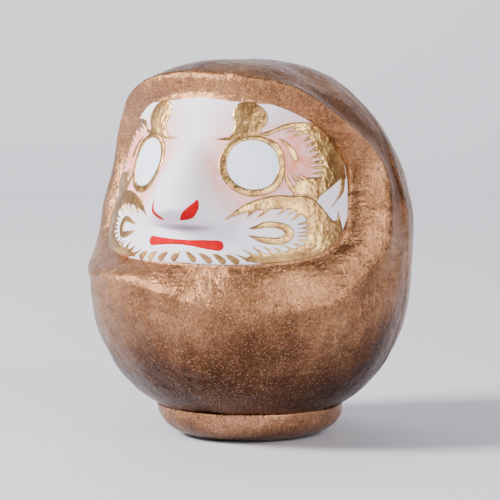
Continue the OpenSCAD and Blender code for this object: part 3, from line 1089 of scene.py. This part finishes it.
def goldPaint(look):
    material, tree, shader, at = startMaterial("goldPaint", look["metallic"])
    cloud = noiseTex(tree, at, *look["cloud"])
    grain = noiseTex(tree, at, *look["grain"])
    brushed = noiseTex(tree, at, *look["brushed"])
    colour = toneRamp(tree, cloud, (0.32, look["dark"]), (0.5, look["middle"]), (0.7, look["light"]))
    pits = mathNode(tree, "MULTIPLY", greyRamp(tree, grain, (0.32, 1), (0.42, 0)), 0.5)
    colour = mixColour(tree, pits, colour, linear(*look["pit"]))
    coatWith(tree, shader, colour, grain, look["roughness"], [(brushed, 0.45, 0.55), (grain, 0.08, 0.45)])
    return material


chalkLook = {
    "white": (244, 236, 243),
    "cool": (234, 228, 240),
    "blush": (255, 140, 104),
    "specular": 0.35,
    "roughness": (0.62, 0.8),
    # the blush's spots: across, height, where each is full, where it ends and how strong it is
    "spots": ((29, 77, 4, 14, 0.95), (17.6, 74.6, 9, 17, 0.7), (12, 84, 2, 10, 0.4), (9, 69, 1, 7, 0.5)),
    "fold": (140, 130, 156),  # the shade that gathers in the fold under the nose
    "foldPlace": (1.0, 59.0),
    "foldSize": (11.0, 1.5),
    "foldShade": 0.85,
}


def chalkPaint(look):
    material, tree, shader, at = startMaterial("chalkPaint", 0.0, look["specular"])
    colour = toneRamp(tree, noiseTex(tree, at, 0.08, 4, 0.6), (0.35, look["cool"]), (0.65, look["white"]))
    blush = 0.0
    for side in (1, -1):
        for across, up, full, end, most in look["spots"]:
            spot = facePoints(np.array([side * across]), np.array([up]), 0.0)[0] / mm
            gap = addNode(tree, "VectorMath", {0: at, 1: tuple(spot)}, operation="DISTANCE")
            amount = rangeMap(tree, gap.outputs["Value"], full, end, most, 0.0, "SMOOTHSTEP")
            blush = mathNode(tree, "MAXIMUM", blush, amount)
    patchy = greyRamp(tree, noiseTex(tree, at, 0.35, 3, 0.6), (0.3, 0.55), (0.65, 1))
    colour = mixColour(tree, mathNode(tree, "MULTIPLY", blush, patchy), colour, linear(*look["blush"]))
    apart = addNode(tree, "SeparateXYZ", {"Vector": at})
    parts = []
    for axis, middle, size in zip("XZ", look["foldPlace"], look["foldSize"]):
        shifted = mathNode(tree, "SUBTRACT", apart.outputs[axis], middle)
        parts.append(mathNode(tree, "DIVIDE", shifted, size))
    away = addNode(tree, "CombineXYZ", {"X": parts[0], "Y": parts[1]}).outputs[0]
    away = addNode(tree, "VectorMath", {0: away}, operation="LENGTH").outputs["Value"]
    shade = rangeMap(tree, away, 0.1, 1.0, look["foldShade"], 0.0, "SMOOTHSTEP")
    colour = mixColour(tree, shade, colour, linear(*look["fold"]))
    uneven = noiseTex(tree, at, 0.3, 3, 0.5)
    grain = noiseTex(tree, at, 1.4, 4, 0.6)
    coatWith(tree, shader, colour, grain, look["roughness"], [(uneven, 0.3, 0.3), (grain, 0.08, 0.3)])
    return material


plainLooks = {
    # light and dark tone, roughness, relief and specular
    "eyePaint": ((238, 245, 255), (226, 236, 250), (0.42, 0.55), 0.35, 0.5),
    "redPaint": ((204, 0, 24), (184, 0, 18), (0.65, 0.8), 0.3, 0.05),
    "driedGlue": ((120, 96, 74), (84, 62, 46), (0.35, 0.5), 0.5, 0.5),
    "rawPaper": ((200, 182, 154), (178, 158, 130), (0.75, 0.9), 0.6, 0.3),
}


def plainPaint(name):
    light, dark, roughness, relief, specular = plainLooks[name]
    material, tree, shader, at = startMaterial(name, 0.0, specular)
    brushed = noiseTex(tree, at, 0.5, 4, 0.6, (1.0, 1.0, 0.35))
    colour = toneRamp(tree, brushed, (0.35, dark), (0.65, light))
    grain = noiseTex(tree, at, 2.0, 3, 0.6)
    coatWith(tree, shader, colour, grain, roughness, [(brushed, 0.12, relief), (grain, 0.05, relief)])
    return material


copperFront = copperPaint("copperFront", copperLook)
copperBack = copperPaint("copperBack", backLook)
copperFoot = copperPaint("copperFoot", footLook)
copperBand = copperPaint("copperBand", backLook)
gold = goldPaint(goldLook)
chalk = chalkPaint(chalkLook)
eyePaint = plainPaint("eyePaint")
redPaint = plainPaint("redPaint")
driedGlue = plainPaint("driedGlue")
rawPaper = plainPaint("rawPaper")

settle(shellFront, copperFront, "copper_coat", "shell_front")
settle(shellBack, copperBack, "copper_coat", "shell_back")
settle(seamStrip, copperBand, "copper_strip", "seam_strip")
settle(clayFoot, copperFoot, "copper_foot", "base_weight")
settle(glueBead, driedGlue, "glue", "base_glue")
settle(footPaper, rawPaper, "base_paper", "base_paper")
settle(faceGround, chalk, "white_ground", "face_ground")
goldMarks = {
    "eyeRim": "eye_rim",
    "brow": "brow",
    "craneWing": "crane_wing",
    "browDab": "brow_dab",
    "beard": "beard",
    "beardHook": "beard_hook",
}
for word, node in (("Left", "_left"), ("Right", "_right")):
    settle(films["eyeWhite" + word], eyePaint, "eye_white", "eye_white" + node)
    for name, start in goldMarks.items():
        settle(films[name + word], gold, "gold_paint", start + node)
    settle(films["nostril" + word], redPaint, "red_paint", "nostril" + node)
settle(films["mouth"], redPaint, "red_paint", "mouth")
settle(films["chinDabs"], gold, "gold_paint", "chin_dabs")
print("materials given")

studio = {
    "cameraPlace": (0.3178, -0.6237, 0.115),
    "cameraAim": (0.0, 0.0, 0.050),
    "lens": 186.2,
    "air": (0.80, 0.79, 0.84),
    "airStrength": 0.2,
    "floor": (212, 211, 220),
    "floorRough": 0.7,
    "floorWidth": 5.0,
    "floorFront": -3.0,
    "floorBend": (0.9, 0.35),  # where the floor turns up behind the doll, and its radius
    "floorTop": 0.75,
    "floorTurn": 27,
}
dollMiddle = (0, 0, 0.06)
softboxes = {
    # place, aim, size and power
    "keyLight": ((-0.68, -0.62, 0.66), dollMiddle, (0.34, 0.3), 30),
    "windowLight": ((-0.85, -0.45, 0.22), dollMiddle, (0.3, 0.3), 2),
    "sideLight": ((0.8, -0.25, 0.4), dollMiddle, (0.2, 0.5), 5),
    "frontLight": ((0.6, -0.72, 0.4), dollMiddle, (0.22, 0.26), 3.5),
    "backdropLight": ((-0.3, 0.5, 1.2), (-0.7, 1.4, 0.25), (1.0, 0.6), 15.5),
}


def makeFloor():
    # a sweep: flat under the doll and curving up into a backdrop far behind it
    mesh = bpy.data.meshes.new("studioFloor")
    work = bmesh.new()
    start, radius = studio["floorBend"]
    profile = [(studio["floorFront"], 0.0), (start, 0.0)]
    for w in np.radians(np.linspace(0, 90, 16)[1:]):
        profile.append((start + radius * math.sin(w), radius - radius * math.cos(w)))
    profile.append((start + radius, studio["floorTop"]))
    c, s = math.cos(math.radians(studio["floorTurn"])), math.sin(math.radians(studio["floorTurn"]))
    half = studio["floorWidth"] / 2
    rows = []
    for y, z in profile:
        rows.append([work.verts.new((x * c - y * s, x * s + y * c, z)) for x in (-half, half)])
    for a, b in zip(rows[:-1], rows[1:]):
        work.faces.new((a[0], a[1], b[1], b[0])).smooth = True
    work.to_mesh(mesh)
    work.free()
    material = bpy.data.materials.new("studioFloor")
    material.use_nodes = True
    shader = material.node_tree.nodes["Principled BSDF"]
    shader.inputs["Base Color"].default_value = linear(*studio["floor"])
    shader.inputs["Roughness"].default_value = studio["floorRough"]
    mesh.materials.append(material)
    addObject("studioFloor", mesh)


def putUp(name, data, place, aim):
    # stands a light or the camera at its place, turned towards its aim
    thing = addObject(name, data)
    thing.location = place
    thing.rotation_euler = (Vector(aim) - Vector(place)).to_track_quat("-Z", "Y").to_euler()
    return thing


makeFloor()
for name, (place, aim, size, power) in softboxes.items():
    light = bpy.data.lights.new(name, "AREA")
    light.shape = "RECTANGLE"
    light.size, light.size_y = size
    light.energy = power
    putUp(name, light, place, aim)

world = bpy.data.worlds.new("studioAir")
world.use_nodes = True
world.node_tree.nodes["Background"].inputs["Color"].default_value = (*studio["air"], 1)
world.node_tree.nodes["Background"].inputs["Strength"].default_value = studio["airStrength"]
bpy.context.scene.world = world

camera = bpy.data.cameras.new("camera")
camera.lens = studio["lens"]
camera.sensor_width = 36
camera.clip_start = 0.01
bpy.context.scene.camera = putUp("camera", camera, studio["cameraPlace"], studio["cameraAim"])
print("studio made")
